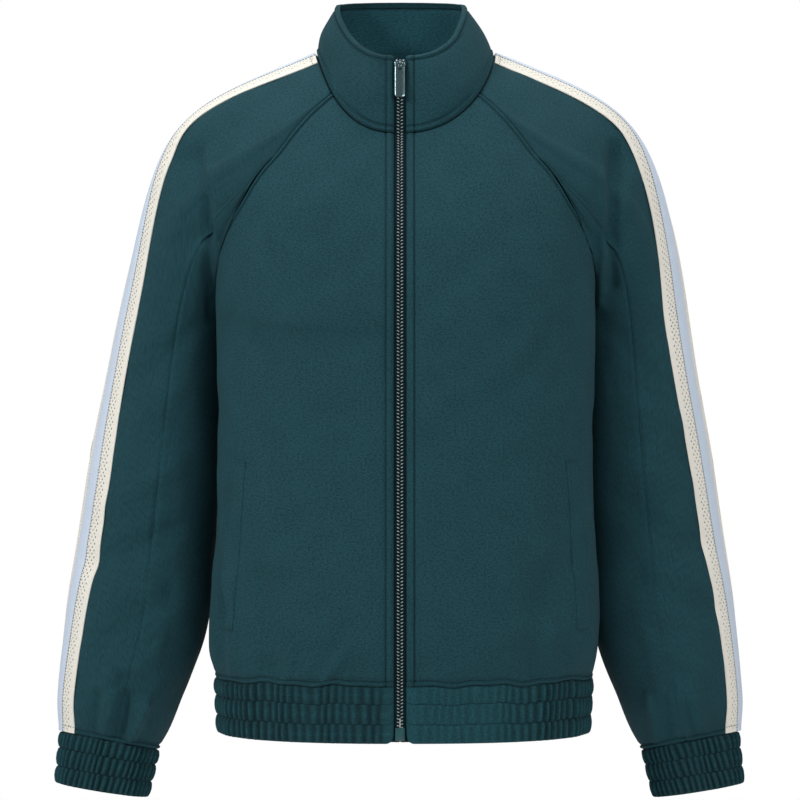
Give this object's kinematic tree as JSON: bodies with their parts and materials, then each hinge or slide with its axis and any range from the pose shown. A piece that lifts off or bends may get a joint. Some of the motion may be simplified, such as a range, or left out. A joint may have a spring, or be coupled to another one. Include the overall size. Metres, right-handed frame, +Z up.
{
  "type": "raglan track jacket",
  "caption": "Raglan track jacket with a full zip, stand collar, side stripes down the sleeves, slanted welt pockets and shirred hem and cuffs, open and hollow as worn.",
  "frame": {"origin": "middle of the neck, on the centre plane, between the front of the neck seam and its height on the shoulders", "axes": "+Z up along the body, the front faces -Y, the wearer's left sleeve is at +X"},
  "size_m": [0.693, 0.2587, 0.8029],
  "materials": {
    "knit": "dark teal double-knit jersey with a soft matt face",
    "shirred_band": "the same knit shirred over a wide elastic, with rows of stitching",
    "eyelet_tape": "cream knitted tape with rows of small eyelets",
    "satin_strip": "light blue satin ribbon",
    "zip_tape": "dark woven zip tape",
    "zip_coil": "dark coil teeth with a slight gloss",
    "zip_plastic": "moulded teal plastic",
    "zip_metal": "polished plated metal"
  },
  "bodies": {
    "jacket": {"front_left": "knit", "front_right": "knit", "back": "knit", "sleeve_left_front": "knit", "sleeve_left_back": "knit", "sleeve_right_front": "knit", "sleeve_right_back": "knit", "collar": "knit", "pocket_welt_left": "knit", "pocket_welt_right": "knit", "hem_front_left": "shirred_band", "hem_front_right": "shirred_band", "hem_back": "shirred_band", "cuff_left": "shirred_band", "cuff_right": "shirred_band", "side_tape_left": "eyelet_tape", "side_tape_right": "eyelet_tape", "side_satin_left": "satin_strip", "side_satin_right": "satin_strip", "zip_tape_left": "zip_tape", "zip_tape_right": "zip_tape", "zip_chain": "zip_coil", "zip_box": "zip_plastic", "zip_slider": "zip_metal"},
    "pull_tab": {"pull_tab": "zip_metal"}
  },
  "joints": [
    {"name": "pull_tab_hinge", "type": "hinge", "parent": "jacket", "child": "pull_tab", "pos_m": [0, -0.08049, 0.00068], "axis": [-1, 0, 0], "range_deg": [0, 160]}
  ]
}
